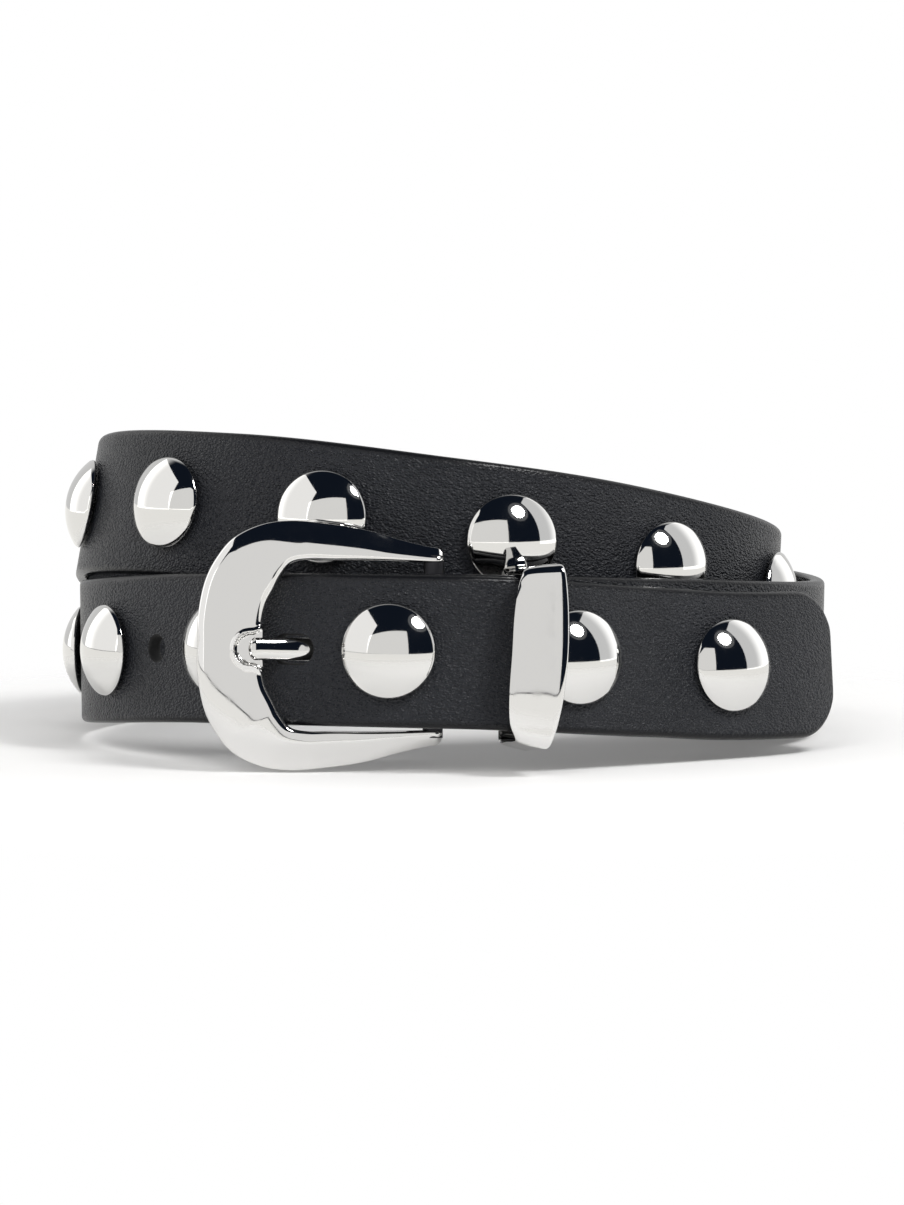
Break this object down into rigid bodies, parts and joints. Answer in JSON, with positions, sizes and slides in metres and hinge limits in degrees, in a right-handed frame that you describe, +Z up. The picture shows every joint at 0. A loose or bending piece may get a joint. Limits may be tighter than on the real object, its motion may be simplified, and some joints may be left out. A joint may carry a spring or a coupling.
{
  "type": "studded belt",
  "caption": "Black leather belt coiled twice round and fastened: one row of polished domed studs, a rounded tip, a horseshoe buckle with its tongue, and a deep domed keeper.",
  "frame": {"origin": "middle of the coil's footprint, on the surface that it rests on", "axes": "+Z up across the strap's width, +X to the right seen from the buckle, -Y towards the front, where the buckle is"},
  "size_m": [0.163, 0.1672, 0.0662],
  "materials": {
    "leather": "fine-grained, softly glossy",
    "stud_metal": "mirror-polished",
    "buckle_metal": "mirror-polished"
  },
  "bodies": {
    "root": {"strap": "leather", "stud_01": "stud_metal", "stud_02": "stud_metal", "stud_03": "stud_metal", "stud_04": "stud_metal", "stud_05": "stud_metal", "stud_06": "stud_metal", "stud_07": "stud_metal", "stud_08": "stud_metal", "stud_09": "stud_metal", "stud_10": "stud_metal", "stud_11": "stud_metal", "stud_12": "stud_metal", "stud_13": "stud_metal", "stud_14": "stud_metal", "stud_15": "stud_metal", "stud_16": "stud_metal", "stud_17": "stud_metal", "stud_18": "stud_metal", "stud_19": "stud_metal", "stud_20": "stud_metal", "stud_21": "stud_metal", "stud_22": "stud_metal", "stud_23": "stud_metal", "buckle_frame": "buckle_metal", "buckle_tongue": "buckle_metal", "keeper": "buckle_metal"}
  },
  "joints": []
}
